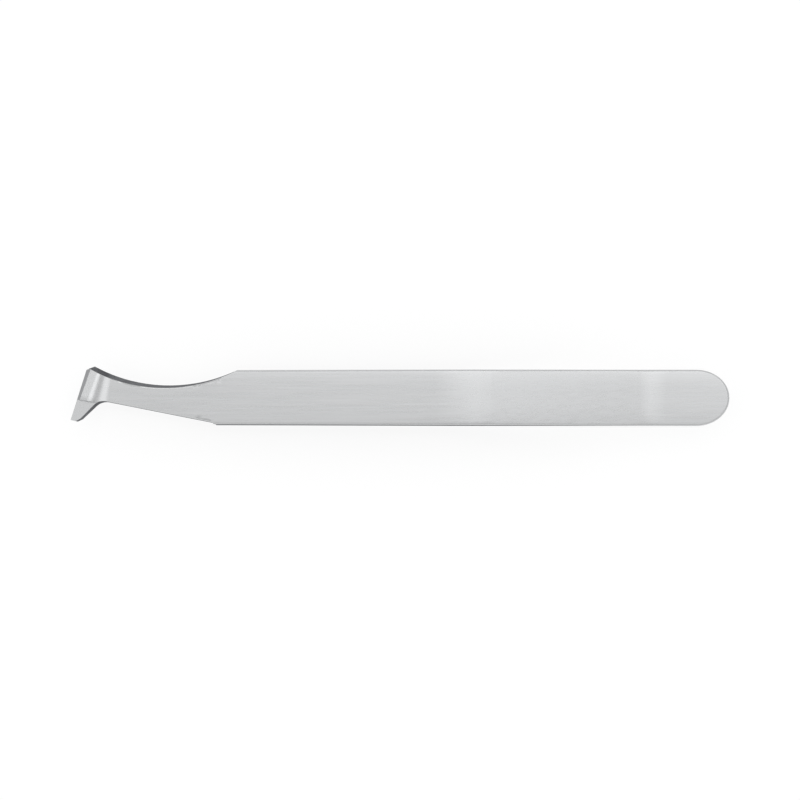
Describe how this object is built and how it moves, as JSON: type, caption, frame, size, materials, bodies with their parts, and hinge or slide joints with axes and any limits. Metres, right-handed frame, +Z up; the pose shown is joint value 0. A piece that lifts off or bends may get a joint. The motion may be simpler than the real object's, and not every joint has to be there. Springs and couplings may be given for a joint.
{
  "type": "cutting tweezers",
  "caption": "Angled cutting tweezers in brushed steel: two spring arms welded at the heel, scooped necks and wide, bent, slanted cutting heads.",
  "frame": {"origin": "the belly mount: on the surface that the tweezers lie on, half-way along them and on the centreline of the handle", "axes": "+X along the arms to the welded heel, +Y across the arms to the scooped edge of the neck, +Z up from the lower arm to the upper arm"},
  "size_m": [0.115, 0.0105, 0.0136],
  "materials": {
    "upper_arm": "lengthwise satin grind",
    "lower_arm": "lengthwise satin grind"
  },
  "bodies": {
    "lower_arm": {"lower_arm": "lower_arm"},
    "upper_arm": {"upper_arm": "upper_arm"}
  },
  "joints": [
    {"name": "squeeze", "type": "hinge", "parent": "lower_arm", "child": "upper_arm", "pos_m": [0.04571, 0, 0.0068], "axis": [0, -1, 0], "range_deg": [0, 3.03], "stiffness_Nm_per_rad": 1.3, "springref_deg": -0.29}
  ]
}
